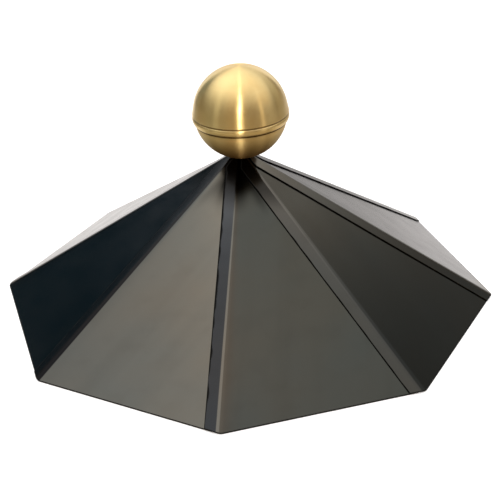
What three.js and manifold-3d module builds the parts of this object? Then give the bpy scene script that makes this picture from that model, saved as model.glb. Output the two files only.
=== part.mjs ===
// Ridge cap: an eight-sided hood of dark sheet metal with a two-part brass ball on its top.
// Millimetres, +Z up. The hood stands on its rim at z = 0, centred on the Z axis, with one panel facing -Y.
// Each panel is one bent sheet: its left edge is folded over the hip and laps the panel on its left.

import * as THREE from 'three';
import { mergeVertices } from 'three/addons/utils/BufferGeometryUtils.js';
import Module from 'manifold-3d';

const wasm = await Module();
wasm.setup();

// Driving dimensions of the hood
const SIDE_NAMES = ['front', 'front_right', 'right', 'back_right', 'back', 'back_left', 'left', 'front_left'];
const CORNER_RADIUS = 275; // from the axis to a corner of the rim, on the panels' outer faces
const APEX_HEIGHT = 173.3; // where the eight outer faces would meet
const SHEET = 0.8; // thickness of the sheet metal
const FIT_GAP = 0.3; // clearance between pieces that lie on each other
const LAP_WIDTH = 13.8; // width of the folded flange, from the fold to its free edge
const FOLD_RADIUS = 12; // outside radius of the fold
const FOLD_STEPS = 5;

// Driving dimensions of the ball
const BALL_RADIUS = 50; // outside of the upper half
const BALL_CENTRE_HEIGHT = 215.3;
const SHELL = 1; // wall of both halves
const LOWER_RADIUS = 49.5; // outside of the lower half
const LIP_RADIUS = 51; // the upper half flares to this lip at the equator
const LIP_DROP = 0.2; // lip below the equator
const FLARE_LATITUDE = THREE.MathUtils.degToRad(8); // the flare starts this far above the equator
const GROOVE_HEIGHT = 1.6;
const GROOVE_DEPTH = 0.7;
const COLLAR_RADIUS = 51.1; // top of the collar, just below the groove
const COLLAR_FOOT_RADIUS = 50.5; // distance of the collar's lower edge from the ball's centre
const COLLAR_FOOT_LATITUDE = THREE.MathUtils.degToRad(-10.5);
const ROUND_SEGMENTS = 48;
const OUTER_STEP = THREE.MathUtils.degToRad(6); // arc per facet on the faces that show
const INNER_STEP = THREE.MathUtils.degToRad(12);

// Colours and finishes
const SHEET_FINISH = { color: 0x4c4b47, roughness: 0.38, metalness: 0.85 };
const BRASS_FINISH = { color: 0xc9a45c, roughness: 0.3, metalness: 1 };

// Values that follow from the driving dimensions
const SIDES = SIDE_NAMES.length;
const SECTOR = (2 * Math.PI) / SIDES;
const APOTHEM = CORNER_RADIUS * Math.cos(SECTOR / 2);
const FACE_SLOPE = Math.atan2(APEX_HEIGHT, APOTHEM);
const APEX = new THREE.Vector3(0, 0, APEX_HEIGHT);
const UP = new THREE.Vector3(0, 0, 1);
const CUTTER_SIZE = 4 * CORNER_RADIUS; // longer than anything it cuts
const MERGE_DISTANCE = 1e-4;

const faceNormal = (angle) =>
  new THREE.Vector3(
    Math.sin(FACE_SLOPE) * Math.cos(angle),
    Math.sin(FACE_SLOPE) * Math.sin(angle),
    Math.cos(FACE_SLOPE),
  );
const rimCorner = (angle) =>
  new THREE.Vector3(CORNER_RADIUS * Math.cos(angle), CORNER_RADIUS * Math.sin(angle), 0);

const FOLD_ANGLE = faceNormal(0).angleTo(faceNormal(SECTOR));
// The flange lies one sheet and one gap above its neighbour, which moves the fold this far past the hip.
const HIP_OFFSET = (SHEET + FIT_GAP) / Math.sin(FOLD_ANGLE);
// From the fold's sharp corner to where its arc meets either flat.
const FOLD_TANGENT = FOLD_RADIUS * Math.tan(FOLD_ANGLE / 2);
// A plate ends this far short of the hip, before it meets the next panel's fold.
const EDGE_SETBACK = HIP_OFFSET * Math.cos(FOLD_ANGLE) + FOLD_TANGENT;

// Solids and geometries

function toSolid(geometry) {
  const bare = geometry.clone();
  bare.deleteAttribute('normal');
  bare.deleteAttribute('uv');
  const merged = mergeVertices(bare, MERGE_DISTANCE);
  return new wasm.Manifold(
    new wasm.Mesh({
      numProp: 3,
      vertProperties: new Float32Array(merged.attributes.position.array),
      triVerts: new Uint32Array(merged.index.array),
    }),
  );
}

function toGeometry(solid) {
  const { vertProperties, triVerts } = solid.getMesh();
  const geometry = new THREE.BufferGeometry();
  geometry.setAttribute('position', new THREE.BufferAttribute(vertProperties, 3));
  geometry.setIndex(new THREE.BufferAttribute(triVerts, 1));
  geometry.computeVertexNormals();
  return geometry;
}

// A block that fills everything on the outward side of a plane.
function spaceBeyond(point, outward) {
  const block = new THREE.BoxGeometry(CUTTER_SIZE, CUTTER_SIZE, CUTTER_SIZE);
  block.translate(0, 0, CUTTER_SIZE / 2);
  block.applyQuaternion(new THREE.Quaternion().setFromUnitVectors(UP, outward));
  block.translate(point.x, point.y, point.z);
  return toSolid(block);
}

// One panel, centred on +X: the plate, its fold and the flange are one sheet

// Section across the left hip: x runs right along the plate and y outwards from its outer face.
function sheetSection(plateReach) {
  const plateStart = FOLD_TANGENT - HIP_OFFSET;
  const flangeLength = LAP_WIDTH - FOLD_TANGENT;
  const along = new THREE.Vector2(-Math.cos(FOLD_ANGLE), -Math.sin(FOLD_ANGLE));
  const arcStart = Math.PI / 2;
  const arcEnd = arcStart + FOLD_ANGLE;
  const arcPoint = (radius) =>
    new THREE.Vector2(plateStart + radius * Math.cos(arcEnd), -FOLD_RADIUS + radius * Math.sin(arcEnd));
  const innerRadius = FOLD_RADIUS - SHEET;
  const outerEnd = arcPoint(FOLD_RADIUS).addScaledVector(along, flangeLength);
  const innerEnd = arcPoint(innerRadius).addScaledVector(along, flangeLength);

  const section = new THREE.Shape();
  section.moveTo(plateReach, 0);
  section.lineTo(plateStart, 0);
  section.absarc(plateStart, -FOLD_RADIUS, FOLD_RADIUS, arcStart, arcEnd, false);
  section.lineTo(outerEnd.x, outerEnd.y);
  section.lineTo(innerEnd.x, innerEnd.y);
  section.absarc(plateStart, -FOLD_RADIUS, innerRadius, arcEnd, arcStart, true);
  section.lineTo(plateReach, -SHEET);
  section.closePath();
  return section;
}

function panelSolid() {
  const leftCorner = rimCorner(-SECTOR / 2);
  const rightCorner = rimCorner(SECTOR / 2);
  const outward = faceNormal(0);
  const downHip = new THREE.Vector3().subVectors(leftCorner, APEX);
  const hipLength = downHip.length();
  downHip.normalize();
  const acrossPlate = new THREE.Vector3().crossVectors(outward, downHip);

  const spareLength = hipLength / 10; // past both ends of the hip, cut away below
  const bent = new THREE.ExtrudeGeometry(sheetSection(hipLength), {
    depth: hipLength + 2 * spareLength,
    bevelEnabled: false,
    curveSegments: FOLD_STEPS,
  });
  bent.applyMatrix4(new THREE.Matrix4().makeBasis(acrossPlate, outward, downHip));
  const start = APEX.clone().addScaledVector(downHip, -spareLength);
  bent.translate(start.x, start.y, start.z);

  // The plate's right edge lies under the next panel's flange.
  const rightHip = new THREE.Vector3().subVectors(rightCorner, APEX).normalize();
  const rightward = new THREE.Vector3().crossVectors(outward, rightHip);
  const rightEdge = rightCorner.clone().addScaledVector(rightward, -EDGE_SETBACK);

  // High up, the flange is wider than its neighbour and is trimmed at the neighbour's far hip.
  const farHip = -1.5 * SECTOR;
  const pastFarHip = new THREE.Vector3(Math.sin(farHip), -Math.cos(farHip), 0);

  return toSolid(bent)
    .subtract(spaceBeyond(new THREE.Vector3(), UP.clone().negate()))
    .subtract(spaceBeyond(rightEdge, rightward))
    .subtract(spaceBeyond(new THREE.Vector3(), pastFarHip))
    .subtract(ballSeat());
}

// The panels' upper ends are cut to the underside of the ball.
function ballSeat() {
  const facetAllowance = 1 / Math.cos(Math.PI / ROUND_SEGMENTS) ** 2;
  const radius = (LOWER_RADIUS + FIT_GAP) * facetAllowance;
  const seat = new THREE.SphereGeometry(radius, ROUND_SEGMENTS, ROUND_SEGMENTS / 2);
  seat.rotateX(Math.PI / 2);
  seat.translate(0, 0, BALL_CENTRE_HEIGHT);
  return toSolid(seat);
}

// The ball: two half shells, drawn as profiles about the ball's centre

function profilePoint(radius, latitude) {
  const onAxis = Math.abs(latitude) === Math.PI / 2;
  return new THREE.Vector2(onAxis ? 0 : radius * Math.cos(latitude), radius * Math.sin(latitude));
}

// Points on an arc about the centre, from one latitude to another.
function arc(radius, from, to, step) {
  const steps = Math.max(1, Math.round(Math.abs(to - from) / step));
  return Array.from({ length: steps + 1 }, (_, i) =>
    profilePoint(radius, i === steps ? to : from + ((to - from) * i) / steps),
  );
}

function turned(profile) {
  const geometry = new THREE.LatheGeometry(profile, ROUND_SEGMENTS);
  geometry.rotateX(Math.PI / 2);
  return toGeometry(toSolid(geometry));
}

// The upper half steps out over the lower half's rim and carries on below it as a collar.
function upperHalf() {
  const innerRadius = BALL_RADIUS - SHELL;
  const rebateRadius = LOWER_RADIUS + FIT_GAP;
  const grooveBottom = new THREE.Vector2(LIP_RADIUS - GROOVE_DEPTH, -LIP_DROP - GROOVE_HEIGHT / 2);
  const collarTop = new THREE.Vector2(COLLAR_RADIUS, -LIP_DROP - GROOVE_HEIGHT);
  const collarMiddle = profilePoint(COLLAR_RADIUS, COLLAR_FOOT_LATITUDE / 2);
  return turned([
    ...arc(innerRadius, Math.PI / 2, Math.asin(-LIP_DROP / innerRadius), INNER_STEP),
    ...arc(rebateRadius, Math.asin(-LIP_DROP / rebateRadius), COLLAR_FOOT_LATITUDE, OUTER_STEP),
    profilePoint(COLLAR_FOOT_RADIUS, COLLAR_FOOT_LATITUDE),
    collarMiddle,
    collarTop,
    grooveBottom,
    new THREE.Vector2(LIP_RADIUS, -LIP_DROP),
    ...arc(BALL_RADIUS, FLARE_LATITUDE, Math.PI / 2, OUTER_STEP),
  ]);
}

function lowerHalf() {
  const rimDrop = LIP_DROP + FIT_GAP;
  const innerRadius = LOWER_RADIUS - SHELL;
  return turned([
    ...arc(LOWER_RADIUS, -Math.PI / 2, Math.asin(-rimDrop / LOWER_RADIUS), OUTER_STEP),
    ...arc(innerRadius, Math.asin(-rimDrop / innerRadius), -Math.PI / 2, INNER_STEP),
  ]);
}

// The assembly

function piece(name, geometry, finish) {
  const mesh = new THREE.Mesh(geometry, new THREE.MeshStandardMaterial(finish));
  mesh.name = name;
  return mesh;
}

function hood() {
  const group = new THREE.Group();
  const geometry = toGeometry(panelSolid());
  SIDE_NAMES.forEach((side, i) => {
    const panel = piece(`panel_${side}`, geometry, SHEET_FINISH);
    panel.rotation.z = i * SECTOR - Math.PI / 2;
    group.add(panel);
  });
  return group;
}

function ball() {
  const group = new THREE.Group();
  group.add(piece('ball_upper_half', upperHalf(), BRASS_FINISH));
  group.add(piece('ball_lower_half', lowerHalf(), BRASS_FINISH));
  group.position.z = BALL_CENTRE_HEIGHT;
  return group;
}

const ridgeCap = new THREE.Group();
ridgeCap.add(hood(), ball());

export default ridgeCap;
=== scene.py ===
# Ridge cap: an eight-sided hood of dark patinated sheet metal with a two-part brushed brass ball on top.
# Metres, in the part's own frame: +Z up, the hood stands on its rim at z = 0 and one panel faces -Y.

import math
from typing import NamedTuple

import bpy
from mathutils import Matrix, Vector, noise


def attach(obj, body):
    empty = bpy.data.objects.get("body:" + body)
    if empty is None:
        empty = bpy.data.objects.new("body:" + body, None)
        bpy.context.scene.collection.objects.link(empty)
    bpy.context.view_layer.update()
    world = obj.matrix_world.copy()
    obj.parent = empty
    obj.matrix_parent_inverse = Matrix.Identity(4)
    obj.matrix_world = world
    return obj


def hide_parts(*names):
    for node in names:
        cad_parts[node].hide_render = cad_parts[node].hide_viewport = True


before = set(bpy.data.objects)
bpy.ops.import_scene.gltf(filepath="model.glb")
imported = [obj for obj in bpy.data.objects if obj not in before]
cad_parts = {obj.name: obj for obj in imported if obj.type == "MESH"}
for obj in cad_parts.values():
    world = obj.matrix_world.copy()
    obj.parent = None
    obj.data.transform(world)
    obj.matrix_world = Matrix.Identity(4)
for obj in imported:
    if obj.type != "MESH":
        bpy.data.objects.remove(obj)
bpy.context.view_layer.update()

MM = 0.001

# Driving dimensions of the hood
SIDE_NAMES = ["front", "front_right", "right", "back_right", "back", "back_left", "left", "front_left"]
CORNER_RADIUS = 275 * MM
APEX_HEIGHT = 173.3 * MM
SHEET = 0.8 * MM
FIT_GAP = 0.3 * MM
LAP_WIDTH = 13.8 * MM
TOP_FOLD_RADIUS = 6 * MM  # the fold is tight under the ball and widens down to the rim
RIM_FOLD_RADIUS = 25 * MM
EDGE_BEVEL = 0.12 * MM
SEAM_LINE = 0.9 * MM  # usual width of the dark line along a flange's free edge
SEAM_LIMIT = 3  # the line takes at most one part in this many of the flange's width
RIM_SHADOW_WIDTH = 0.9 * MM  # width of the painted shadow along the rim
RIM_SHADOW_BLEND = 1.4  # the shadow's soft upper side ends this many shadow widths above the rim

# Driving dimensions of the ball, about its centre
BALL_CENTRE_HEIGHT = 215.3 * MM
BALL_RADIUS = 50 * MM
LOWER_RADIUS = 49.5 * MM
SHELL = 1 * MM
SEAT_RADIUS = LOWER_RADIUS + FIT_GAP

# The upper half's lower edge: a flared lip, then a groove, then a collar round the lower half
LIP_RADIUS = 51 * MM
LIP_DROP = 0.2 * MM
FLARE_LATITUDE = math.radians(10)
FLARE_CURVE = 1.8  # how late the flare swings out
FLARE_DROP = 0.3 * LIP_DROP
GROOVE_HEIGHT = 1.9 * MM
GROOVE_DEPTH = 0.7 * MM
GROOVE_FLOOR = (0.25, 0.75)  # shares of the groove's height at which its floor begins and ends
COLLAR_TOP_RADIUS = 50.3 * MM
COLLAR_RADIUS = 51.3 * MM
COLLAR_SHOULDER = 2.2 * MM  # how far the collar's shoulder is below its top
COLLAR_SLANT = 0.35 * MM  # how much narrower the collar is on its slanted top
COLLAR_SLANT_DROP = 0.35 * COLLAR_SHOULDER
COLLAR_CROWN = 0.05 * MM  # how much narrower it is at its shoulder than at its widest, in the middle
COLLAR_TUCK = 0.25 * MM  # how much narrower it is near its foot
COLLAR_FOOT_RADIUS = 50.4 * MM
COLLAR_FOOT_LATITUDE = math.radians(-10.5)
COLLAR_MIDDLE_LATITUDE = 0.55 * COLLAR_FOOT_LATITUDE
COLLAR_TUCK_LATITUDE = 0.85 * COLLAR_FOOT_LATITUDE
REBATE_LATITUDES = (0.8 * COLLAR_FOOT_LATITUDE, 0.7 * COLLAR_FOOT_LATITUDE)
BEAD_ROUNDING = 0.6 * MM

# Fineness of the meshes
FLANGE_COLUMNS = 9
LINE_COLUMNS = 2  # of the flange's columns, those within the dark line
FOLD_COLUMNS = 14
PLATE_COLUMNS = 26
PANEL_ROWS = 72
RIM_SHADOW_ROWS = 2  # of the panel's rows, those within the painted shadow along the rim
BEVEL_SEGMENTS = 2
BEVEL_ANGLE = math.radians(40)  # edges sharper than this are bevelled
SEAT_HALVINGS = 40  # how often the search for the seat's edge halves its range
BALL_SEGMENTS = 256
UPPER_STEPS = 72
LOWER_STEPS = 120
INSIDE_STEPS = 36
FLARE_STEPS = 8
REBATE_STEPS = 8
CORNER_STEPS = 4
ON_AXIS = 1e-6  # a profile's point nearer to the axis than this lies on it

# Hand work in the sheets
PLATE_SWELL = 0.35 * MM  # how far a plate's middle may lie off flat
PLATE_SWELL_LENGTH = 0.13  # distance between swells
SWELL_LEFT, SWELL_RIGHT = 0.25, 0.3  # shares of the plate's width over which swells die out
SWELL_RIM, SWELL_TOP = APEX_HEIGHT / 5, APEX_HEIGHT / 3  # heights over which they do so
EDGE_WANDER = 0.35 * MM  # how far a flange's free edge leaves its straight line
EDGE_WANDER_LENGTH = 0.035
FLANGE_LIFT = 0.25 * MM  # how far a flange's free edge may stand off the sheet below
FLANGE_LIFT_LENGTH = 0.06
FLANGE_LIFT_SEED = 0.5
SEAM_LENGTH = 0.006  # distance between the thick and thin places of the dark line along a flange's free edge
SEAM_UNEVENNESS = 0.8
BALL_TILT = math.radians(1.2)  # the ball isn't quite upright
SEED_STEPS = (17.3, 5.1, 9.7)  # how far apart in the noise two seeds lie

VIEW_AZIMUTH = math.radians(-16.49)  # the photo's camera stands this far round from -Y

# Values that follow from the driving dimensions
SIDES = len(SIDE_NAMES)
SECTOR = 2 * math.pi / SIDES
APOTHEM = CORNER_RADIUS * math.cos(SECTOR / 2)
FACE_SLOPE = math.atan2(APEX_HEIGHT, APOTHEM)
APEX = Vector((0, 0, APEX_HEIGHT))
BALL_CENTRE = Vector((0, 0, BALL_CENTRE_HEIGHT))
COLLAR_TOP = -LIP_DROP - GROOVE_HEIGHT


def face_normal(angle):
    across = math.sin(FACE_SLOPE)
    return Vector((across * math.cos(angle), across * math.sin(angle), math.cos(FACE_SLOPE)))


def rim_corner(angle):
    return Vector((CORNER_RADIUS * math.cos(angle), CORNER_RADIUS * math.sin(angle), 0))


FOLD_ANGLE = face_normal(0).angle(face_normal(SECTOR))
HIP_OFFSET = (SHEET + FIT_GAP) / math.sin(FOLD_ANGLE)


# Helpers

def smooth_step(low, high, value):
    share = min(1.0, max(0.0, (value - low) / (high - low)))
    return share * share * (3 - 2 * share)


def wander(place, length, seed):
    """A smooth value from about -1 to 1 that changes over the given length."""
    return noise.noise(place / length + Vector([step * seed for step in SEED_STEPS]))


def link_mesh(name, vertices, faces):
    mesh = bpy.data.meshes.new(name)
    mesh.from_pydata(vertices, [], faces)
    mesh.update()
    piece = bpy.data.objects.new(name, mesh)
    bpy.context.scene.collection.objects.link(piece)
    return piece


def towards(turn, height):
    """The direction with that turn and height, in degrees.

    A turn is to the left from straight behind the part as the camera sees it.
    """
    azimuth = VIEW_AZIMUTH + math.pi / 2 + math.radians(turn)
    level = math.cos(math.radians(height))
    return Vector((level * math.cos(azimuth), level * math.sin(azimuth), math.sin(math.radians(height))))


# Colours of the patinated sheets, with light and shade painted on them

class PatinaAndPaintedLight(NamedTuple):
    """Colours of one sheet, with the light and shade painted on it, the painted shade of the ball and the
    dark line along the flange's free edge. The values here are those of a plain sheet.
    """

    flange: tuple = (0.052, 0.051, 0.045)  # the flange at the rim, its painted light and shade included
    painted_flange_top: tuple = (0.066, 0.064, 0.056)  # the flange under the ball, with the painted light it has there
    flange_across: float = 0  # how much less of the top's painted light the free edge has than the fold
    flange_fade: float = 1  # how fast the top's colour gives way down the flange
    painted_fold_line: tuple = (0.072, 0.070, 0.062)  # the painted line along the fold at the rim: a highlight on some sheets, a shade on others
    painted_fold_line_top: tuple = (0.072, 0.070, 0.062)  # the same line under the ball
    painted_fold_line_columns: tuple = (6, 9)  # the fold's first column with this line, and the first one past it
    fold: tuple = (0.052, 0.050, 0.043)  # painted reflection beside the line; None where the plate's colour reaches it
    near: tuple = (0.057, 0.057, 0.050)  # the plate near the fold, with its painted light and shade
    far: tuple = (0.050, 0.052, 0.045)  # the plate far from the fold, with its painted light and shade
    across: float = 0.7  # how much of the far colour is reached across the plate
    up: float = 0.3  # how much of it is reached up the plate
    painted_ball_shade: tuple = (0.3, 0.3, 0.3)  # painted shade of the ball beside it: the flange, the plate's left and right
    seam_line: float = SEAM_LINE  # width of the dark line along the free edge at the top
    seam_taper: float = 0.65  # share of that width at the rim
    seam_line_fade: float = 0  # how much the dark line gives way to the flange's colour towards the rim


# Each sheet's colours carry painted light and shade: some sheets are lighter or darker than others, and
# lighter or darker towards the top.
PATINAS_AND_PAINTED_LIGHT = {side: PatinaAndPaintedLight() for side in SIDE_NAMES}
PATINAS_AND_PAINTED_LIGHT["front"] = PatinaAndPaintedLight(
    flange=(0.028, 0.030, 0.033),
    painted_flange_top=(0.135, 0.135, 0.137),
    flange_fade=2.7,
    painted_fold_line=(0.104, 0.099, 0.087),
    painted_fold_line_top=(0.104, 0.099, 0.087),
    painted_fold_line_columns=(5, 9),
    fold=(0.060, 0.054, 0.045),
    painted_ball_shade=(0.75, 0.95, 0.4),
    seam_line=2.6 * MM,
)
PATINAS_AND_PAINTED_LIGHT["front_left"] = PatinaAndPaintedLight(
    flange=(0.033, 0.035, 0.039),
    painted_flange_top=(0.155, 0.149, 0.153),
    flange_across=1,
    painted_fold_line=(0.008, 0.008, 0.009),
    painted_fold_line_top=(0.030, 0.030, 0.030),
    painted_fold_line_columns=(3, 13),
    fold=(0.071, 0.073, 0.068),
    near=(0.071, 0.073, 0.068),
    far=(0.134, 0.123, 0.103),
    across=0.45,
    up=0.9,
    painted_ball_shade=(0.35, 0.0, 1.9),
)
PATINAS_AND_PAINTED_LIGHT["front_right"] = PatinaAndPaintedLight(
    painted_flange_top=(0.084, 0.081, 0.074),
    painted_fold_line=(0.050, 0.049, 0.044),
    painted_fold_line_top=(0.170, 0.162, 0.144),
    painted_fold_line_columns=(3, 6),
    fold=None,
    near=(0.022, 0.023, 0.021),
    far=(0.126, 0.121, 0.105),
    across=0.08,
    up=1.5,
    painted_ball_shade=(0.65, 0.2, 0.1),
)
PATINAS_AND_PAINTED_LIGHT["right"] = PatinaAndPaintedLight(
    flange=(0.028, 0.028, 0.025),
    painted_flange_top=(0.240, 0.224, 0.195),
    near=(0.050, 0.048, 0.046),
    far=(0.036, 0.034, 0.033),
    painted_ball_shade=(0.1, 0.3, 0.3),
    seam_taper=0.3,
    seam_line_fade=0.9,
)
PATINAS_AND_PAINTED_LIGHT["back_right"] = PatinaAndPaintedLight(
    flange=(0.047, 0.046, 0.042),
    painted_flange_top=(0.034, 0.033, 0.031),
    painted_fold_line=(0.046, 0.045, 0.041),
    painted_fold_line_top=(0.040, 0.039, 0.036),
    fold=(0.042, 0.041, 0.038),
)
PATINAS_AND_PAINTED_LIGHT["left"] = PatinaAndPaintedLight(
    painted_fold_line=(0.006, 0.006, 0.006),
    painted_fold_line_top=(0.006, 0.006, 0.006),
    fold=(0.010, 0.011, 0.013),
    near=(0.023, 0.036, 0.043),
    far=(0.060, 0.062, 0.071),
    across=0,
    up=1,
    painted_ball_shade=(0.75, 0.75, 0.5),
)
# Colour of the dark line along a flange's free edge, and of the painted shadow along the rim
DARK_LINE_COLOUR = Vector((0.003, 0.003, 0.003))
SEAM_LINE_FADE_START, SEAM_LINE_FADE_END = 0.2, 0.65  # shares of the way down over which the dark line gives way
TOP_FADE = 2.2  # how fast the colours of the top give way to those of the rim
FOLD_BAND_WIDTH = 0.06  # share of the plate over which the painted reflection beside the fold fades
BALL_SHADE_START, BALL_SHADE_END = 0.12, 0.24  # shares of the way down over which the painted shade of the ball fades
BALL_SHADE_LIMIT = 0.95  # the darkest that the painted shade of the ball may make a plate
BALL_SHADE_EDGE = 0.05  # how far the painted shade's edge strays, as a share of the way down
BALL_SHADE_EDGE_LENGTH = 0.3  # share of the plate's width over which it strays
BALL_SHADE_SEED = 0.5


def patina_and_painted_light(side, column, row, share):
    """Colour of a point of a sheet, with its painted light and shade, and how metallic it is. Share is its
    place across the plate.
    """
    tones = PATINAS_AND_PAINTED_LIGHT[side]
    down = row / PANEL_ROWS
    # The last rows are the painted shadow along the rim.
    if row > PANEL_ROWS - RIM_SHADOW_ROWS:
        return *DARK_LINE_COLOUR, 0
    # The first columns are the dark line along the flange's free edge.
    if column < LINE_COLUMNS:
        bare = tones.seam_line_fade * smooth_step(SEAM_LINE_FADE_START, SEAM_LINE_FADE_END, down)
        return *DARK_LINE_COLOUR.lerp(Vector(tones.flange), bare), bare
    top = (1 - down) ** TOP_FADE
    painted_line_start, painted_line_end = (FLANGE_COLUMNS + place for place in tones.painted_fold_line_columns)
    # The flange takes the top's painted light most under the ball and beside the fold.
    if column < painted_line_start:
        rise = 1 - tones.flange_across * (1 - min(1, column / FLANGE_COLUMNS) ** 2)
        colour = Vector(tones.flange).lerp(Vector(tones.painted_flange_top), top ** tones.flange_fade * rise)
        painted_ball_shade = tones.painted_ball_shade[0]
    else:
        # The plate's painted light and shade change across it and up it.
        change = min(1, tones.across * share + tones.up * top)
        colour = Vector(tones.near).lerp(Vector(tones.far), change)
        # The fold's columns carry the painted line along the fold.
        if column < painted_line_end:
            colour = Vector(tones.painted_fold_line).lerp(Vector(tones.painted_fold_line_top), top)
        # A painted reflection lies beside the fold's line.
        elif tones.fold:
            colour = Vector(tones.fold).lerp(colour, smooth_step(0, FOLD_BAND_WIDTH, share))
        painted_ball_shade = min(BALL_SHADE_LIMIT, tones.painted_ball_shade[1] * (1 - share) + tones.painted_ball_shade[2] * share)
    edge_place = Vector((share / BALL_SHADE_EDGE_LENGTH, SIDE_NAMES.index(side), BALL_SHADE_SEED))
    stray = BALL_SHADE_EDGE * noise.noise(edge_place)
    # The painted shade of the ball darkens the sheet under the ball and fades down it.
    colour *= 1 - painted_ball_shade * (1 - smooth_step(BALL_SHADE_START + stray, BALL_SHADE_END + stray, down))
    return *colour, 1


# Panels: each is one sheet, a plate whose left edge is folded over the hip into a flange

def fold_radius(height):
    return RIM_FOLD_RADIUS + (TOP_FOLD_RADIUS - RIM_FOLD_RADIUS) * height / APEX_HEIGHT


def fold_tangent(height):
    return fold_radius(height) * math.tan(FOLD_ANGLE / 2)


def flange_length(height):
    return LAP_WIDTH - fold_tangent(height)


def plate_start(height):
    """Where the plate's flat begins, to the right of the hip in the section."""
    return fold_tangent(height) - HIP_OFFSET


class PanelShape:
    """The outer face of a panel centred on +X, as columns across the sheet and rows down it."""

    def __init__(self, seed, seam_line, seam_taper):
        self.seed = seed
        self.seam_line = seam_line
        self.seam_taper = seam_taper
        self.normal = face_normal(0)
        self.down_hip = (rim_corner(-SECTOR / 2) - APEX).normalized()
        self.across = self.normal.cross(self.down_hip)
        self.right_corner = rim_corner(SECTOR / 2)
        right_hip = (self.right_corner - APEX).normalized()
        self.rightward = self.normal.cross(right_hip)
        far_hip = -1.5 * SECTOR
        self.past_far_hip = Vector((math.sin(far_hip), -math.cos(far_hip), 0))

    def at_height(self, x, y, height):
        """The point with section place (x, y) at that height: x right along the plate, y out from it."""
        level = APEX + self.across * x + self.normal * y
        return level + self.down_hip * ((height - level.z) / self.down_hip.z)

    def flange_place(self, reach, height):
        """Section place on the flange's outer face, that far from the fold."""
        radius = fold_radius(height)
        x = plate_start(height) - radius * math.sin(FOLD_ANGLE) - reach * math.cos(FOLD_ANGLE)
        return x, radius * math.cos(FOLD_ANGLE) - radius - reach * math.sin(FOLD_ANGLE)

    def flange_reach(self, height):
        """Width of the flange at that height. High up it is cut at the neighbour's far hip."""
        length = flange_length(height)
        near = self.at_height(*self.flange_place(0, height), height).dot(self.past_far_hip)
        far = self.at_height(*self.flange_place(length, height), height).dot(self.past_far_hip)
        trimmed = length if far <= 0 else length * near / (near - far)
        drift = EDGE_WANDER * wander(Vector((height, 0, 0)), EDGE_WANDER_LENGTH, self.seed)
        return max(trimmed + drift * smooth_step(0, length, trimmed), EDGE_BEVEL)

    def plate_end(self, height):
        """Where the plate ends, on the right, beside the next panel's fold."""
        start = (self.at_height(0, 0, height) - self.right_corner).dot(self.rightward)
        end = (self.at_height(1, 0, height) - self.right_corner).dot(self.rightward)
        setback = HIP_OFFSET * math.cos(FOLD_ANGLE) + fold_tangent(height)
        return (-setback - start) / (end - start)

    def seam_width(self, height):
        unevenness = wander(Vector((0, height, 0)), SEAM_LENGTH, self.seed)
        taper = self.seam_taper + (1 - self.seam_taper) * height / APEX_HEIGHT
        return self.seam_line * (taper + SEAM_UNEVENNESS * unevenness)

    def column(self, index, height):
        """Section place, outward turn from the plate's normal and developed distance of a column."""
        radius = fold_radius(height)
        if index < FLANGE_COLUMNS:
            reach = self.flange_reach(height)
            line = min(max(self.seam_width(height), EDGE_BEVEL), reach / SEAM_LIMIT)
            if index < LINE_COLUMNS:
                reach -= line * index / LINE_COLUMNS
            else:
                reach = (reach - line) * (FLANGE_COLUMNS - index) / (FLANGE_COLUMNS - LINE_COLUMNS)
            return *self.flange_place(reach, height), FOLD_ANGLE, -radius * FOLD_ANGLE - reach
        index -= FLANGE_COLUMNS
        start = plate_start(height)
        if index < FOLD_COLUMNS:
            turn = FOLD_ANGLE * (1 - index / FOLD_COLUMNS)
            return start - radius * math.sin(turn), radius * math.cos(turn) - radius, turn, -radius * turn
        share = (index - FOLD_COLUMNS) / PLATE_COLUMNS
        x = start + share * (self.plate_end(height) - start)
        return x, 0, 0, x - start

    def top_height(self, index):
        """Height at which a column meets the seat under the ball."""
        low, high = APEX_HEIGHT / 2, APEX_HEIGHT
        for _ in range(SEAT_HALVINGS):
            middle = (low + high) / 2
            x, y, _, _ = self.column(index, middle)
            if (self.at_height(x, y, middle) - BALL_CENTRE).length > SEAT_RADIUS:
                low = middle
            else:
                high = middle
        return low

    def outward(self, turn):
        return self.normal * math.cos(turn) - self.across * math.sin(turn)

    def swell(self, point, developed, height):
        """Height of the plate's slight swells, which die out at its edges."""
        width = self.plate_end(height) - plate_start(height)
        if developed <= 0 or width <= 0:
            return 0
        share = developed / width
        inside = smooth_step(0, SWELL_LEFT, share) * smooth_step(0, SWELL_RIGHT, 1 - share)
        inside *= smooth_step(0, SWELL_RIM, height) * smooth_step(0, SWELL_TOP, APEX_HEIGHT - height)
        return PLATE_SWELL * inside * wander(point, PLATE_SWELL_LENGTH, self.seed)

    def lift(self, developed, height):
        """How far the flange stands off the sheet below it, most at its free edge."""
        reach = max(0, -developed - fold_radius(height) * FOLD_ANGLE) / flange_length(height)
        place = Vector((height, 0, 0))
        rise = 0.5 + 0.5 * wander(place, FLANGE_LIFT_LENGTH, self.seed + FLANGE_LIFT_SEED)
        return FLANGE_LIFT * reach * reach * rise

    def foot_height(self, turn):
        """Height of the outer face's lower edge, where the rim is cut level.

        The flange lies on its neighbour, so its outer face ends higher than the plate's.
        """
        over = (SHEET + FIT_GAP) * smooth_step(0, FOLD_ANGLE, turn)
        return (SHEET + over) * math.cos(FACE_SLOPE)

    def row_shares(self):
        """Shares of the way down at which the rows lie. The last ones make the painted shadow along the
        rim.
        """
        line = RIM_SHADOW_WIDTH * math.sin(FACE_SLOPE) / APEX_HEIGHT
        plain_rows = PANEL_ROWS - RIM_SHADOW_ROWS
        shares = [row / plain_rows * (1 - RIM_SHADOW_BLEND * line) for row in range(plain_rows + 1)]
        return shares + [1 - line, 1]

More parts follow.
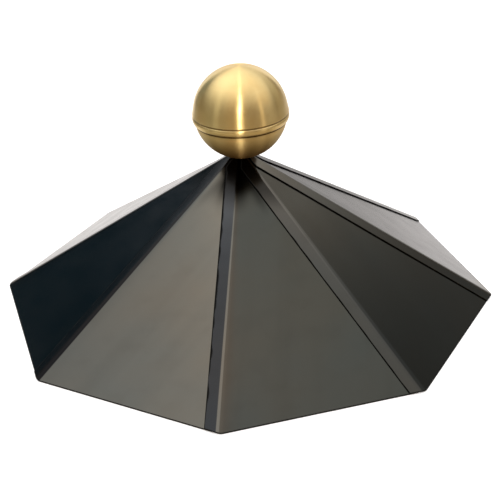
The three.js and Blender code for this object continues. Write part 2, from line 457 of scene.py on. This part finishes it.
    def grid(self):
        """Rows of (outer point, outward normal, developed distance, distance down the slope)."""
        columns = FLANGE_COLUMNS + FOLD_COLUMNS + PLATE_COLUMNS + 1
        foot = [self.foot_height(self.column(i, 0)[2]) for i in range(columns)]
        tops = [self.top_height(i) for i in range(columns)]
        rows = []
        for down in self.row_shares():
            places = []
            for i in range(columns):
                height = tops[i] + (foot[i] - tops[i]) * down
                x, y, turn, developed = self.column(i, height)
                out = self.outward(turn)
                point = self.at_height(x, y, height)
                point += out * (self.swell(point, developed, height) + self.lift(developed, height))
                places.append((point, out, developed, (APEX_HEIGHT - height) / math.sin(FACE_SLOPE)))
            rows.append(places)
        return rows


def sheet_faces(height, width):
    """Faces of the closed sheet's outer and inner grids, and of the cut edges between them."""
    inner = height * width
    sides = []
    for r in range(height - 1):
        for c in range(width - 1):
            a, b = r * width + c, r * width + c + 1
            sides.append((a, a + width, b + width, b))
            sides.append((inner + a, inner + b, inner + b + width, inner + a + width))
    border = [r * width for r in range(height)]
    border += [(height - 1) * width + c for c in range(1, width)]
    border += [r * width + width - 1 for r in range(height - 2, -1, -1)]
    border += [c for c in range(width - 2, 0, -1)]
    edges = [(a, inner + a, inner + b, b) for a, b in zip(border, border[1:] + border[:1])]
    return sides, edges


def sheet_mesh(name, side, seed):
    """The closed sheet: outer face, inner face and the cut edges between them."""
    rows = PanelShape(seed, PATINAS_AND_PAINTED_LIGHT[side].seam_line, PATINAS_AND_PAINTED_LIGHT[side].seam_taper).grid()
    height, width = len(rows), len(rows[0])
    vertices = [point for places in rows for point, _, _, _ in places]
    vertices += [point - out * SHEET for places in rows for point, out, _, _ in places]
    developed = [(u, v) for places in rows for _, _, u, v in places] * 2
    sides, edges = sheet_faces(height, width)

    piece = link_mesh(name, vertices, sides + edges)
    mesh = piece.data
    for polygon in mesh.polygons:
        polygon.use_smooth = True
        polygon.material_index = int(polygon.index >= len(sides))
    places = mesh.uv_layers.new(name="developed")
    for loop in mesh.loops:
        u, v = developed[loop.vertex_index]
        places.data[loop.index].uv = (u + seed, v)
    colours = mesh.color_attributes.new("patina_and_painted_light", "FLOAT_COLOR", "POINT")
    for index, colour in enumerate(colours.data):
        row, column = divmod(index % (height * width), width)
        share = max(0, column - FLANGE_COLUMNS - FOLD_COLUMNS) / PLATE_COLUMNS
        colour.color = patina_and_painted_light(side, column, row, share)
    return piece


def make_panel(side, number):
    piece = sheet_mesh(f"sheet_{side}", side, number + 1)
    piece.data.transform(Matrix.Rotation(number * SECTOR - math.pi / 2, 4, "Z"))
    bevel = piece.modifiers.new("cut edges", "BEVEL")
    bevel.width = EDGE_BEVEL
    bevel.segments = BEVEL_SEGMENTS
    bevel.limit_method = "ANGLE"
    bevel.angle_limit = BEVEL_ANGLE
    weighted = piece.modifiers.new("flat faces", "WEIGHTED_NORMAL")
    weighted.keep_sharp = True
    return piece


# Ball: two turned shells

# Painted shade on the ball: in the groove, at and below the collar's foot, inside the collar, and on the
# lower half's underside
GROOVE_PAINTED_SHADE = 0.75
FOOT_SHADOW_START, FOOT_SHADOW_END = 1.5 * MM, 2.6 * MM  # distances below the collar's foot over which its painted shadow fades
UNDERSIDE_PAINTED_SHADE = 0.95
UNDERSIDE_START, UNDERSIDE_END = math.radians(-17), math.radians(-58)


def profile_point(radius, latitude):
    return Vector((radius * math.cos(latitude), radius * math.sin(latitude)))


def arc(radius, start, end, steps):
    return [profile_point(radius, start + (end - start) * i / steps) for i in range(steps + 1)]


def rounded(corners, radius):
    """The corner points with each inner corner rounded by a small curve."""
    points = [corners[0]]
    for before, corner, after in zip(corners, corners[1:], corners[2:]):
        cut = min(radius, (before - corner).length / 2, (after - corner).length / 2)
        start = corner + (before - corner).normalized() * cut
        end = corner + (after - corner).normalized() * cut
        for i in range(CORNER_STEPS + 1):
            t = i / CORNER_STEPS
            points.append(start * (1 - t) ** 2 + corner * 2 * t * (1 - t) + end * t * t)
    return points + [corners[-1]]


def turned(name, profile, painted_shade_of):
    """A shell turned round the Z axis from a closed profile whose first and last points lie on the axis."""
    lean = Matrix.Rotation(BALL_TILT, 3, towards(180, 0))
    vertices = []
    rings = []
    painted_shades = []
    for place in profile:
        if place.x < ON_AXIS:
            rings.append([len(vertices)] * BALL_SEGMENTS)
            vertices.append(lean @ Vector((0, 0, place.y)) + BALL_CENTRE)
            painted_shades.append(painted_shade_of(place))
            continue
        ring = []
        painted_shades += [painted_shade_of(place)] * BALL_SEGMENTS
        for i in range(BALL_SEGMENTS):
            angle = 2 * math.pi * i / BALL_SEGMENTS
            ring.append(len(vertices))
            point = Vector((place.x * math.cos(angle), place.x * math.sin(angle), place.y))
            vertices.append(lean @ point + BALL_CENTRE)
        rings.append(ring)
    faces = []
    for ring, following in zip(rings, rings[1:]):
        for i in range(BALL_SEGMENTS):
            j = (i + 1) % BALL_SEGMENTS
            corners = [ring[i], following[i], following[j], ring[j]]
            faces.append(list(dict.fromkeys(corners)))
    piece = link_mesh(name, vertices, [face for face in faces if len(face) > 2])
    for polygon in piece.data.polygons:
        polygon.use_smooth = True
    colours = piece.data.color_attributes.new("darkening", "FLOAT_COLOR", "POINT")
    for colour, darkening in zip(colours.data, painted_shades):
        colour.color = (darkening, darkening, darkening, 1)
    return piece


def upper_painted_shade(place):
    """Painted shade of a point of the upper half's profile: in the groove, and on the collar's foot and
    inside.
    """
    under = place.length < (COLLAR_FOOT_RADIUS + SEAT_RADIUS) / 2 and place.y < 0
    if under:
        return 1.0
    in_groove = COLLAR_TOP < place.y < -LIP_DROP and place.x < LIP_RADIUS - GROOVE_DEPTH / 2
    return GROOVE_PAINTED_SHADE if in_groove else 0.0


def lower_painted_shade(place):
    """Painted shade of a point of the lower half's profile: a painted shadow below the collar's foot, and
    painted shade on the underside.
    """
    latitude = math.atan2(place.y, place.x)
    below = (COLLAR_FOOT_LATITUDE - latitude) * LOWER_RADIUS
    foot = 1 - smooth_step(FOOT_SHADOW_START, FOOT_SHADOW_END, below)
    depth = min(1, max(0, (UNDERSIDE_START - latitude) / (UNDERSIDE_START - UNDERSIDE_END)))
    return max(foot, UNDERSIDE_PAINTED_SHADE * (1 - (1 - depth) ** 2))


def flare(start_height):
    """Points from the dome's end down to the lip, swinging out past the ball's own round."""
    points = []
    for i in range(1, FLARE_STEPS + 1):
        share = i / FLARE_STEPS
        height = start_height * (1 - share) - FLARE_DROP * share
        swing = (LIP_RADIUS - BALL_RADIUS) * share ** FLARE_CURVE
        points.append(Vector((math.sqrt(BALL_RADIUS ** 2 - height ** 2) + swing, height)))
    return points


def bead(start):
    """Points from the flare's end round the lip, the groove and the collar to the rebate inside it."""
    groove_radius = LIP_RADIUS - GROOVE_DEPTH
    floor_start, floor_end = (-LIP_DROP - GROOVE_HEIGHT * share for share in GROOVE_FLOOR)
    corners = [
        start,
        Vector((LIP_RADIUS, -LIP_DROP)),
        Vector((groove_radius, floor_start)),
        Vector((groove_radius, floor_end)),
        Vector((COLLAR_TOP_RADIUS, COLLAR_TOP)),
        Vector((COLLAR_RADIUS - COLLAR_SLANT, COLLAR_TOP - COLLAR_SLANT_DROP)),
        Vector((COLLAR_RADIUS - COLLAR_CROWN, COLLAR_TOP - COLLAR_SHOULDER)),
        profile_point(COLLAR_RADIUS, COLLAR_MIDDLE_LATITUDE),
        profile_point(COLLAR_RADIUS - COLLAR_TUCK, COLLAR_TUCK_LATITUDE),
        profile_point(COLLAR_FOOT_RADIUS, COLLAR_FOOT_LATITUDE),
        profile_point(SEAT_RADIUS, COLLAR_FOOT_LATITUDE),
        profile_point(SEAT_RADIUS, REBATE_LATITUDES[0]),
    ]
    return rounded(corners, BEAD_ROUNDING)


def upper_half():
    inner = BALL_RADIUS - SHELL
    outer = arc(BALL_RADIUS, math.pi / 2, FLARE_LATITUDE, UPPER_STEPS)
    outer[0].x = 0
    outer += flare(outer[-1].y)
    rebate_end = math.asin(-LIP_DROP / SEAT_RADIUS)
    inside = arc(SEAT_RADIUS, REBATE_LATITUDES[1], rebate_end, REBATE_STEPS)
    inside += arc(inner, math.asin(-LIP_DROP / inner), math.pi / 2, INSIDE_STEPS)
    inside[-1].x = 0
    return turned("brass_upper_half", outer[:-1] + bead(outer[-1]) + inside, upper_painted_shade)


def lower_half():
    rim_drop = LIP_DROP + FIT_GAP
    inner = LOWER_RADIUS - SHELL
    inside = arc(inner, -math.pi / 2, math.asin(-rim_drop / inner), INSIDE_STEPS)
    inside[0].x = 0
    outside = arc(LOWER_RADIUS, math.asin(-rim_drop / LOWER_RADIUS), -math.pi / 2, LOWER_STEPS)
    outside[-1].x = 0
    return turned("brass_lower_half", inside + outside, lower_painted_shade)


# Node helpers

def add_node(tree, kind, inputs=None, **settings):
    node = tree.nodes.new(kind)
    for name, value in settings.items():
        setattr(node, name, value)
    for name, value in (inputs or {}).items():
        if isinstance(value, bpy.types.NodeSocket):
            tree.links.new(value, node.inputs[name])
        else:
            node.inputs[name].default_value = value
    return node


def new_material(name):
    material = bpy.data.materials.new(name)
    material.use_nodes = True
    tree = material.node_tree
    tree.nodes.clear()
    output = tree.nodes.new("ShaderNodeOutputMaterial")
    shader = tree.nodes.new("ShaderNodeBsdfPrincipled")
    tree.links.new(shader.outputs["BSDF"], output.inputs["Surface"])
    return material, tree, shader


def math_node(tree, operation, *values):
    return add_node(tree, "ShaderNodeMath", dict(enumerate(values)), operation=operation).outputs[0]


def vector_node(tree, operation, *values):
    inputs = dict(enumerate(values))
    return add_node(tree, "ShaderNodeVectorMath", inputs, operation=operation).outputs["Vector"]


def along(tree, vector, axis):
    inputs = {0: vector, 1: axis}
    return add_node(tree, "ShaderNodeVectorMath", inputs, operation="DOT_PRODUCT").outputs["Value"]


def noise_value(tree, vector, scale, detail=3.0, roughness=0.5):
    inputs = {"Vector": vector, "Scale": scale, "Detail": detail, "Roughness": roughness}
    return add_node(tree, "ShaderNodeTexNoise", inputs).outputs["Fac"]


def mapped(tree, value, between, low=0, high=1):
    """Low where the value is at the first of two, high at the second, in proportion between them."""
    inputs = {"Value": value, "From Min": between[0], "From Max": between[1], "To Min": low, "To Max": high}
    return add_node(tree, "ShaderNodeMapRange", inputs).outputs["Result"]


def ramp(tree, value, low, high):
    """0 at low, 1 at high, smooth between; low may be the larger."""
    if low < high:
        ends = {"From Min": low, "From Max": high, "To Min": 0, "To Max": 1}
    else:
        ends = {"From Min": high, "From Max": low, "To Min": 1, "To Max": 0}
    inputs = {"Value": value, **ends}
    return add_node(tree, "ShaderNodeMapRange", inputs, interpolation_type="SMOOTHSTEP").outputs["Result"]


def blended(tree, share, first, second, mode="MIX"):
    node = add_node(tree, "ShaderNodeMix", data_type="RGBA", blend_type=mode)
    for index, value in ((0, share), (6, first), (7, second)):
        if isinstance(value, bpy.types.NodeSocket):
            tree.links.new(value, node.inputs[index])
        else:
            node.inputs[index].default_value = value
    return node.outputs[2]


# Materials of the sheets: marks are given by how many lie in a metre, and by how far they are drawn out

FAINT_SHEEN = 0.1
CLOUD_SCALE = 7
MOTTLE_SCALE = 38
GRAIN_SCALE, GRAIN_STRETCH = 300, (1, 0.02, 1)
STREAK_SCALE, STREAK_STRETCH = 45, (1, 0.06, 1)
CLOUD_RANGE = (0.35, 0.65)  # noise values between which a mark goes from nothing to full
MOTTLE_RANGE = (0.5, 0.8)
STREAK_RANGE = (0.45, 0.75)
GLOSS_RANGE = (0.7, 1.3)
MOTTLE_STRENGTH = 0.5
STREAK_STRENGTH = 0.35
WARM_CAST = (1.05, 1.0, 0.94, 1)
COOL_CAST = (0.96, 1.0, 1.01, 1)
DARK_CAST = (0.84, 0.83, 0.82, 1)
NO_CAST = (1, 1, 1, 1)
SHEET_ROUGHNESS = (0.17, 0.24)
DARK_LINE_ROUGHNESS = 0.9
GRAIN_RELIEF = {"Strength": 0.02, "Distance": 0.1 * MM}
MOTTLE_RELIEF = {"Strength": 0.04, "Distance": 0.5 * MM}
WEAR_SCALE = 120
WEAR_RANGE = (0.4, 0.7)
DULL_EDGE = (1.2, 1.0, 0.8, 1)  # times the sheet's colour, painted light and shade included
BARE_EDGE = (3.2, 2.7, 2.1, 1)
EDGE_ROUGHNESS = 0.45


def sheet_material():
    """Dark patinated sheet: the colour painted on each sheet, light and shade included, with soft clouds
    and faint lines down the slope.
    """
    material, tree, shader = new_material("patinated sheet")
    place = add_node(tree, "ShaderNodeUVMap", uv_map="developed").outputs["UV"]
    own = add_node(tree, "ShaderNodeVertexColor", layer_name="patina_and_painted_light")
    clouds = noise_value(tree, place, CLOUD_SCALE)
    mottle = noise_value(tree, place, MOTTLE_SCALE, detail=4, roughness=0.55)
    rolled_out = vector_node(tree, "MULTIPLY", place, GRAIN_STRETCH)
    grain = noise_value(tree, rolled_out, GRAIN_SCALE, detail=2)
    drawn_out = vector_node(tree, "MULTIPLY", place, STREAK_STRETCH)
    streaks = noise_value(tree, drawn_out, STREAK_SCALE, detail=2)

    cast = blended(tree, mapped(tree, clouds, CLOUD_RANGE), WARM_CAST, COOL_CAST)
    colour = blended(tree, 1, own.outputs["Color"], cast, "MULTIPLY")
    darkening = blended(tree, mapped(tree, mottle, MOTTLE_RANGE), NO_CAST, DARK_CAST)
    colour = blended(tree, MOTTLE_STRENGTH, colour, darkening, "MULTIPLY")
    streak = blended(tree, mapped(tree, streaks, STREAK_RANGE), NO_CAST, DARK_CAST)
    colour = blended(tree, STREAK_STRENGTH, colour, streak, "MULTIPLY")
    tree.links.new(colour, shader.inputs["Base Color"])

    metal = own.outputs["Alpha"]
    gloss = mapped(tree, math_node(tree, "ADD", clouds, mottle), GLOSS_RANGE, *SHEET_ROUGHNESS)
    finish = {"Factor": metal, 2: DARK_LINE_ROUGHNESS, 3: gloss}
    tree.links.new(add_node(tree, "ShaderNodeMix", finish).outputs[0], shader.inputs["Roughness"])
    tree.links.new(metal, shader.inputs["Metallic"])
    shader.inputs["Specular IOR Level"].default_value = FAINT_SHEEN

    fine = add_node(tree, "ShaderNodeBump", {"Height": grain, **GRAIN_RELIEF}).outputs["Normal"]
    broad = add_node(tree, "ShaderNodeBump", {"Height": mottle, "Normal": fine, **MOTTLE_RELIEF})
    tree.links.new(broad.outputs["Normal"], shader.inputs["Normal"])
    return material


def edge_material():
    """The sheet's cut edges, where the metal shows through, on the colour painted on the sheet, light and
    shade included.
    """
    material, tree, shader = new_material("cut sheet edge")
    place = add_node(tree, "ShaderNodeUVMap", uv_map="developed").outputs["UV"]
    own = add_node(tree, "ShaderNodeVertexColor", layer_name="patina_and_painted_light").outputs["Color"]
    wear = mapped(tree, noise_value(tree, place, WEAR_SCALE, detail=4), WEAR_RANGE)
    bare = blended(tree, wear, DULL_EDGE, BARE_EDGE)
    tree.links.new(blended(tree, 1, own, bare, "MULTIPLY"), shader.inputs["Base Color"])
    shader.inputs["Metallic"].default_value = 1
    shader.inputs["Roughness"].default_value = EDGE_ROUGHNESS
    return material


# Material of the ball

BRASS = (0.89, 0.66, 0.29, 1)
DEEP_BRASS = (0.78, 0.51, 0.18, 1)
GREEN_BRASS = (0.76, 0.64, 0.31, 1)
PAINTED_SHADE_BRASS = (0.12, 0.062, 0.020, 1)
RING_SCALES = (14, 14, 2200)  # the brushed rings are long round the axis and fine along it
RING_RANGE = (0.3, 0.7)
RING_ROUGHNESS = 0.05  # how much rougher the roughest rings are
RING_RELIEF = {"Strength": 0.06, "Distance": 0.1 * MM}
TARNISH_SCALE, TARNISH_RANGE, TARNISH_STRENGTH = 40, (0.4, 0.7), 0.6
AGE_SCALE, AGE_RANGE, AGE_STRENGTH = 17, (0.45, 0.7), 0.7
AGE_STRETCH = (1, 1, 0.5)
QUARTER_TURN = 0.25
UPPER_ROUGHNESS = 0.28
LOWER_ROUGHNESS = 0.45


def brass_material(name, roughness):
    """Brass brushed round the axis, with fine rings, a slight tarnish, and painted shade in its groove, at
    its collar's foot and on its underside.
    """
    material, tree, shader = new_material(name)
    place = add_node(tree, "ShaderNodeTexCoord").outputs["Object"]
    rings = noise_value(tree, vector_node(tree, "MULTIPLY", place, RING_SCALES), 1, roughness=0.6)
    tarnish = noise_value(tree, place, TARNISH_SCALE, detail=4)
    age = noise_value(tree, vector_node(tree, "MULTIPLY", place, AGE_STRETCH), AGE_SCALE, detail=2)
    tarnished = mapped(tree, tarnish, TARNISH_RANGE, high=TARNISH_STRENGTH)
    aged = mapped(tree, age, AGE_RANGE, high=AGE_STRENGTH)
    colour = blended(tree, aged, blended(tree, tarnished, BRASS, DEEP_BRASS), GREEN_BRASS)
    # The shells' vertex colours hold painted shade, which darkens the brass in the groove, at the collar's
    # foot and on the underside.
    darkening = add_node(tree, "ShaderNodeVertexColor", layer_name="darkening").outputs["Color"]
    tree.links.new(blended(tree, darkening, colour, PAINTED_SHADE_BRASS), shader.inputs["Base Color"])
    finish = mapped(tree, rings, RING_RANGE, roughness, roughness + RING_ROUGHNESS)
    tree.links.new(finish, shader.inputs["Roughness"])
    relief = add_node(tree, "ShaderNodeBump", {"Height": rings, **RING_RELIEF})
    tree.links.new(relief.outputs["Normal"], shader.inputs["Normal"])
    brushing = add_node(tree, "ShaderNodeTangent", direction_type="RADIAL", axis="Z")
    tree.links.new(brushing.outputs["Tangent"], shader.inputs["Tangent"])
    shader.inputs["Anisotropic"].default_value = 1
    shader.inputs["Anisotropic Rotation"].default_value = QUARTER_TURN
    shader.inputs["Metallic"].default_value = 1
    shader.inputs["Specular IOR Level"].default_value = FAINT_SHEEN
    return material


# Camera, as in the photo

VIEW_ELEVATION = math.radians(29.6)
CAMERA_DISTANCE = 1.3757
CAMERA_PAN = math.radians(0.236)
CAMERA_TILT = math.radians(-1.865)
CAMERA_ROLL = math.radians(1.864)
FOCAL_LENGTH = 87.5
SENSOR_WIDTH = 36
FLOOR_RADIUS = 30
VIEW_REACH = 4 * FLOOR_RADIUS


def make_camera():
    data = bpy.data.cameras.new("camera")
    data.lens = FOCAL_LENGTH
    data.sensor_width = SENSOR_WIDTH
    data.clip_end = VIEW_REACH
    camera = bpy.data.objects.new("camera", data)
    bpy.context.scene.collection.objects.link(camera)
    orbit = Matrix.Rotation(VIEW_AZIMUTH, 4, "Z") @ Matrix.Rotation(math.pi / 2 - VIEW_ELEVATION, 4, "X")
    aim = (
        Matrix.Rotation(-CAMERA_PAN, 4, "Y")
        @ Matrix.Rotation(-CAMERA_TILT, 4, "X")
        @ Matrix.Rotation(-CAMERA_ROLL, 4, "Z")
    )
    camera.matrix_world = orbit @ Matrix.Translation((0, 0, CAMERA_DISTANCE)) @ aim
    bpy.context.scene.camera = camera


def sine(degrees):
    return math.sin(math.radians(degrees))


def cosine(degrees):
    return math.cos(math.radians(degrees))


def tangent(degrees):
    return math.tan(math.radians(degrees))


# Floor: pale to the eye, and lit unevenly in reflections. Distances are from the part's axis.

WHITE = (1, 1, 1, 1)
FLOOR_CLEARANCE = 0.1 * MM
FLOOR_RINGS, FLOOR_SPOKES = 6, 64
FLOOR_PAINT = (0.9, 0.9, 0.9, 1)
FLOOR_ROUGHNESS = 0.9
FLOOR_GLOW = 0.3
FLOOR_NEAR = (0.95, 0.80, 0.60, 1)
FLOOR_NEAR_SIDES = (0.72, 0.63, 0.48, 1)
FLOOR_NEAR_EDGES = (70, 45)  # turns from straight in front over which the near floor dims
FLOOR_SIDES = (0.18, 0.15, 0.10, 1)
FLOOR_NEAR_START, FLOOR_NEAR_END = 0.42, 0.95  # distances over which the near floor gives way
FLOOR_BACK = (1.28, 1.23, 1.205, 1)
FLOOR_BACK_START, FLOOR_BACK_END = -0.12, 0.05  # the floor turns pale this far behind the axis
FLOOR_FAR_BACK = (0.68, 0.65, 0.635, 1)
FLOOR_FAR_TURN = -60  # the pale floor dims this way, over these distances
FLOOR_FAR_START, FLOOR_FAR_END = 0.15, 0.60
FLOOR_FAN_START = 0.7  # the pale floor widens from a point this far in front of the axis
FLOOR_FAN_TURN = -6
FLOOR_FAN_EDGES = (30, 24)


def make_floor():
    vertices = [(0, 0, -FLOOR_CLEARANCE)]
    for ring in range(1, FLOOR_RINGS + 1):
        reach = FLOOR_RADIUS * (ring / FLOOR_RINGS) ** 2
        for i in range(FLOOR_SPOKES):
            angle = 2 * math.pi * i / FLOOR_SPOKES
            vertices.append((reach * math.cos(angle), reach * math.sin(angle), -FLOOR_CLEARANCE))
    faces = [(0, 1 + i, 1 + (i + 1) % FLOOR_SPOKES) for i in range(FLOOR_SPOKES)]
    for ring in range(FLOOR_RINGS - 1):
        first = 1 + ring * FLOOR_SPOKES
        for i in range(FLOOR_SPOKES):
            a, b = first + i, first + (i + 1) % FLOOR_SPOKES
            faces.append((a, a + FLOOR_SPOKES, b + FLOOR_SPOKES, b))
    floor = link_mesh("floor", vertices, faces)
    floor.data.materials.append(floor_material())


def floor_light(tree):
    """Colour of the floor in reflections: pale in a fan behind the part, warm near it, dim at the sides."""
    place = add_node(tree, "ShaderNodeTexCoord").outputs["Object"]
    behind = ramp(tree, along(tree, place, towards(0, 0)), FLOOR_BACK_START, FLOOR_BACK_END)
    from_fan = vector_node(tree, "SUBTRACT", place, towards(180, 0) * FLOOR_FAN_START)
    in_fan = along(tree, vector_node(tree, "NORMALIZE", from_fan), towards(FLOOR_FAN_TURN, 0))
    fan = ramp(tree, in_fan, *(cosine(edge) for edge in FLOOR_FAN_EDGES))
    behind = math_node(tree, "MULTIPLY", behind, fan)
    far = ramp(tree, along(tree, place, towards(FLOOR_FAR_TURN, 0)), FLOOR_FAR_START, FLOOR_FAR_END)
    pale = blended(tree, far, FLOOR_BACK, FLOOR_FAR_BACK)
    in_front = along(tree, vector_node(tree, "NORMALIZE", place), towards(180, 0))
    front = ramp(tree, in_front, *(cosine(edge) for edge in FLOOR_NEAR_EDGES))
    near = blended(tree, front, FLOOR_NEAR_SIDES, FLOOR_NEAR)
    distance = add_node(tree, "ShaderNodeVectorMath", {0: place}, operation="LENGTH").outputs["Value"]
    dim = blended(tree, ramp(tree, distance, FLOOR_NEAR_START, FLOOR_NEAR_END), near, FLOOR_SIDES)
    return blended(tree, behind, dim, pale)


def floor_material():
    """A floor that is pale to the eye and has its own light in reflections."""
    material, tree, shader = new_material("pale floor")
    shader.inputs["Base Color"].default_value = FLOOR_PAINT
    shader.inputs["Roughness"].default_value = FLOOR_ROUGHNESS
    shader.inputs["Specular IOR Level"].default_value = FAINT_SHEEN
    shader.inputs["Emission Color"].default_value = WHITE
    shader.inputs["Emission Strength"].default_value = FLOOR_GLOW
    glow = add_node(tree, "ShaderNodeEmission", {"Color": floor_light(tree)})
    seen = add_node(tree, "ShaderNodeLightPath").outputs["Is Camera Ray"]
    mixed = add_node(tree, "ShaderNodeMixShader", {0: seen, 1: glow.outputs[0], 2: shader.outputs["BSDF"]})
    output = next(node for node in tree.nodes if node.type == "OUTPUT_MATERIAL")
    tree.links.new(mixed.outputs[0], output.inputs["Surface"])
    return material


# Studio light, as the shiny surfaces see it. Turns and heights are in degrees, as towards() takes them.
# A soft light is full as far as its core and gone at its reach. A later light covers an earlier one.

SIDE_LIGHT = (0.115, 0.095, 0.060, 1)
DARK_FRONT = dict(turn=180, height=24, reach=44, core=20, colour=(0.20, 0.125, 0.045, 1))
DARK_BESIDE_STREAK = dict(turn=-150, height=12, reach=20, core=9, colour=(0.075, 0.042, 0.016, 1))
DOME = dict(turn=0, height=80, reach=66, core=42, colour=(1.16, 1.16, 1.20, 1))
RIGHT_SIDE = dict(turn=-100, height=50, reach=38, core=14, colour=(1.16, 1.16, 1.20, 1))
OVERHEAD = dict(turn=60, height=72, reach=52, core=10, colour=(1.85, 1.80, 1.78, 1))
LOW_LEFT = dict(turn=50, height=-2, reach=16, core=5, colour=(0.50, 0.45, 0.36, 1))
LOW_RIGHT = dict(turn=-58, height=6, reach=26, core=10, colour=(0.36, 0.31, 0.23, 1))
DARK_LEFT = dict(turn=41, height=18, reach=12.5, core=7.5, colour=(0.03, 0.08, 0.11, 1))
DARK_RIGHT = dict(turn=-53, height=25, reach=15, core=9, colour=(0.56, 0.55, 0.52, 1))
SOFT_LIGHTS = (
    DARK_FRONT,
    DARK_BESIDE_STREAK,
    DOME,
    RIGHT_SIDE,
    OVERHEAD,
    LOW_LEFT,
    LOW_RIGHT,
    DARK_LEFT,
    DARK_RIGHT,
)
BACKDROP_HALF_WIDTH = 29
BACKDROP_EDGE = 4
BACKDROP_TOP = 36
BACKDROP_TOP_EDGE = 8
BACKDROP_COLOUR = (1.08, 1.045, 1.02, 1)
STRIPS = (
    dict(turn=175, lean=0.12, half_width=13, low=-14, high=48, colour=(0.95, 0.74, 0.44, 1)),
    dict(turn=175, lean=0.12, half_width=3.4, low=-14, high=50, colour=(11.0, 10.5, 9.7, 1)),
    dict(turn=-126, lean=0, half_width=6, low=-8, high=26, colour=(0.95, 0.82, 0.66, 1)),
    dict(turn=118, lean=0, half_width=9, low=5, high=40, colour=(0.55, 0.52, 0.45, 1)),
)
STRIP_END = 5  # a strip's ends fade from this far inside its height to as far outside
BAND_LIMIT = 0.02  # a band keeps to its own side of the studio, with this soft limit


def soft_light_share(tree, direction, light):
    nearness = along(tree, direction, towards(light["turn"], light["height"]))
    return ramp(tree, nearness, cosine(light["reach"]), cosine(light["core"]))


def band_share(tree, direction, height, turn, half_width, edge, lean=0):
    """Share of an upright band of the studio at that turn, without ends. A lean tips its top aside."""
    ahead = along(tree, direction, towards(turn, 0))
    aside = along(tree, direction, towards(turn + 90, 0))
    tipped = math_node(tree, "SUBTRACT", aside, math_node(tree, "MULTIPLY", height, lean))
    offset = math_node(tree, "ABSOLUTE", math_node(tree, "DIVIDE", tipped, ahead))
    band = ramp(tree, offset, tangent(half_width + edge), tangent(half_width))
    return math_node(tree, "MULTIPLY", band, ramp(tree, ahead, 0, BAND_LIMIT))


def strip_share(tree, direction, height, strip):
    """Share of a strip light: full over the middle half of its width, and fading to its sides and ends."""
    half = strip["half_width"] / 2
    share = band_share(tree, direction, height, strip["turn"], half, half, strip["lean"])
    for end, inward in ((strip["low"], STRIP_END), (strip["high"], -STRIP_END)):
        fade = ramp(tree, height, sine(end - inward), sine(end + inward))
        share = math_node(tree, "MULTIPLY", share, fade)
    return share


def make_light():
    world = bpy.data.worlds.new("studio")
    bpy.context.scene.world = world
    world.use_nodes = True
    tree = world.node_tree
    tree.nodes.clear()
    direction = add_node(tree, "ShaderNodeTexCoord").outputs["Generated"]
    height = add_node(tree, "ShaderNodeSeparateXYZ", {0: direction}).outputs["Z"]

    colour = SIDE_LIGHT
    for light in SOFT_LIGHTS:
        colour = blended(tree, soft_light_share(tree, direction, light), colour, light["colour"])
    backdrop = band_share(tree, direction, height, 0, BACKDROP_HALF_WIDTH, BACKDROP_EDGE)
    backdrop_top = ramp(tree, height, sine(BACKDROP_TOP + BACKDROP_TOP_EDGE), sine(BACKDROP_TOP))
    backdrop = math_node(tree, "MULTIPLY", backdrop, backdrop_top)
    colour = blended(tree, backdrop, colour, BACKDROP_COLOUR)
    for strip in STRIPS:
        colour = blended(tree, strip_share(tree, direction, height, strip), colour, strip["colour"])

    studio = add_node(tree, "ShaderNodeBackground", {"Color": colour})
    wall = add_node(tree, "ShaderNodeBackground", {"Color": WHITE})
    seen = add_node(tree, "ShaderNodeLightPath").outputs["Is Camera Ray"]
    mixed = add_node(tree, "ShaderNodeMixShader", {0: seen, 1: studio.outputs[0], 2: wall.outputs[0]})
    output = tree.nodes.new("ShaderNodeOutputWorld")
    tree.links.new(mixed.outputs[0], output.inputs["Surface"])


# Scene

make_camera()
make_floor()
make_light()
bpy.context.scene.view_settings.view_transform = "Standard"

sheet_finish = sheet_material()
edge_finish = edge_material()
for number, side in enumerate(SIDE_NAMES):
    panel = make_panel(side, number)
    panel.data.materials.append(sheet_finish)
    panel.data.materials.append(edge_finish)
    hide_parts(f"panel_{side}")
    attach(panel, "root")

BALL_HALVES = (
    (upper_half, "ball_upper_half", UPPER_ROUGHNESS),
    (lower_half, "ball_lower_half", LOWER_ROUGHNESS),
)
for make_half, node, roughness in BALL_HALVES:
    half = make_half()
    half.data.materials.append(brass_material(f"brass of {node}", roughness))
    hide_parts(node)
    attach(half, "root")
